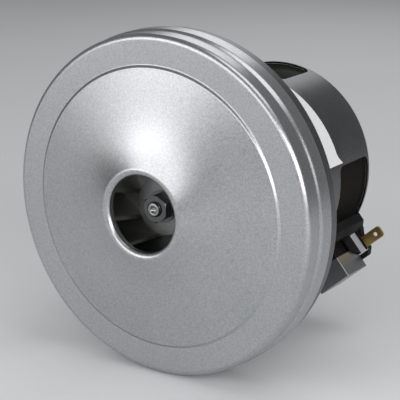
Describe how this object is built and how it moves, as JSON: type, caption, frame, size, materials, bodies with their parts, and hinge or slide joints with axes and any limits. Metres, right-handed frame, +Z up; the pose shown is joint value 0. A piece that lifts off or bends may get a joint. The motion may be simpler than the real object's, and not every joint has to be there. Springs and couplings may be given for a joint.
{
  "type": "vacuum motor unit",
  "caption": "Round vacuum cleaner motor with a drawn fan cover and central intake, a windowed motor can, carbon brushes in plastic holders and terminal tabs.",
  "frame": {"origin": "on the shaft's axis, in the middle of the plain band of the cover's skirt", "axes": "+Y along the shaft from the intake to the rear bearing, +Z up, +X to the right seen from the intake"},
  "size_m": [0.135, 0.119, 0.135],
  "materials": {
    "zinc_sheet": "satin zinc-plated drawn sheet with a fine grain",
    "dark_steel": "satin dark drawn sheet",
    "pressed_steel": "satin pressed sheet",
    "plated_screw": "bright zinc-plated",
    "black_plastic": "moulded, semi-matt",
    "fan_aluminium": "mill finish sheet",
    "turned_steel": "turned, bright",
    "bearing_steel": "ground",
    "lamination": "stacked lamination edges",
    "enamelled_wire": "enamelled copper wire",
    "phenolic": "moulded",
    "copper": "turned copper",
    "tube_brass": "drawn brass",
    "tinned_steel": "tinned sheet",
    "carbon": "pressed carbon",
    "spring_steel": "drawn wire",
    "terminal_brass": "stamped brass"
  },
  "bodies": {
    "motor": {"fan_cover": "zinc_sheet", "motor_frame": "dark_steel", "front_bracket": "pressed_steel", "bracket_screws": "plated_screw", "holder_screws": "plated_screw", "diffuser": "black_plastic", "brush_holder_right": "black_plastic", "brush_holder_left": "black_plastic", "front_bearing_outer_race": "bearing_steel", "front_bearing_balls": "bearing_steel", "rear_bearing_outer_race": "bearing_steel", "rear_bearing_balls": "bearing_steel", "bearing_preload_washer": "bearing_steel", "stator_core": "lamination", "field_coil_upper": "enamelled_wire", "field_coil_lower": "enamelled_wire", "brush_tube_right": "tube_brass", "brush_tube_left": "tube_brass", "brush_cap_right": "tinned_steel", "brush_cap_left": "tinned_steel", "brush_spring_right": "spring_steel", "brush_spring_left": "spring_steel", "terminal_right": "terminal_brass", "terminal_left": "terminal_brass"},
    "rotor": {"impeller_front_disc": "fan_aluminium", "impeller_back_disc": "fan_aluminium", "impeller_blades": "fan_aluminium", "impeller_hub": "turned_steel", "fan_spacer": "turned_steel", "fan_washer": "turned_steel", "fan_nut": "turned_steel", "shaft": "turned_steel", "front_bearing_inner_race": "bearing_steel", "rear_bearing_inner_race": "bearing_steel", "armature_core": "lamination", "armature_windings": "enamelled_wire", "commutator_hub": "phenolic", "commutator_bars": "copper"},
    "brush_right": {"carbon_brush_right": "carbon"},
    "brush_left": {"carbon_brush_left": "carbon"}
  },
  "joints": [
    {"name": "rotor_spin", "type": "hinge", "parent": "motor", "child": "rotor", "pos_m": [0, 0, 0], "axis": [0, 1, 0], "continuous": true},
    {"name": "brush_right_slide", "type": "slide", "parent": "motor", "child": "brush_right", "axis": [0.6494, 0, -0.7604], "range_m": [0, 0.01], "stiffness_N_per_m": 250, "springref_m": -0.012, "deforming": ["brush_spring_right"]},
    {"name": "brush_left_slide", "type": "slide", "parent": "motor", "child": "brush_left", "axis": [-0.6494, 0, 0.7604], "range_m": [0, 0.01], "stiffness_N_per_m": 250, "springref_m": -0.012, "deforming": ["brush_spring_left"]}
  ]
}
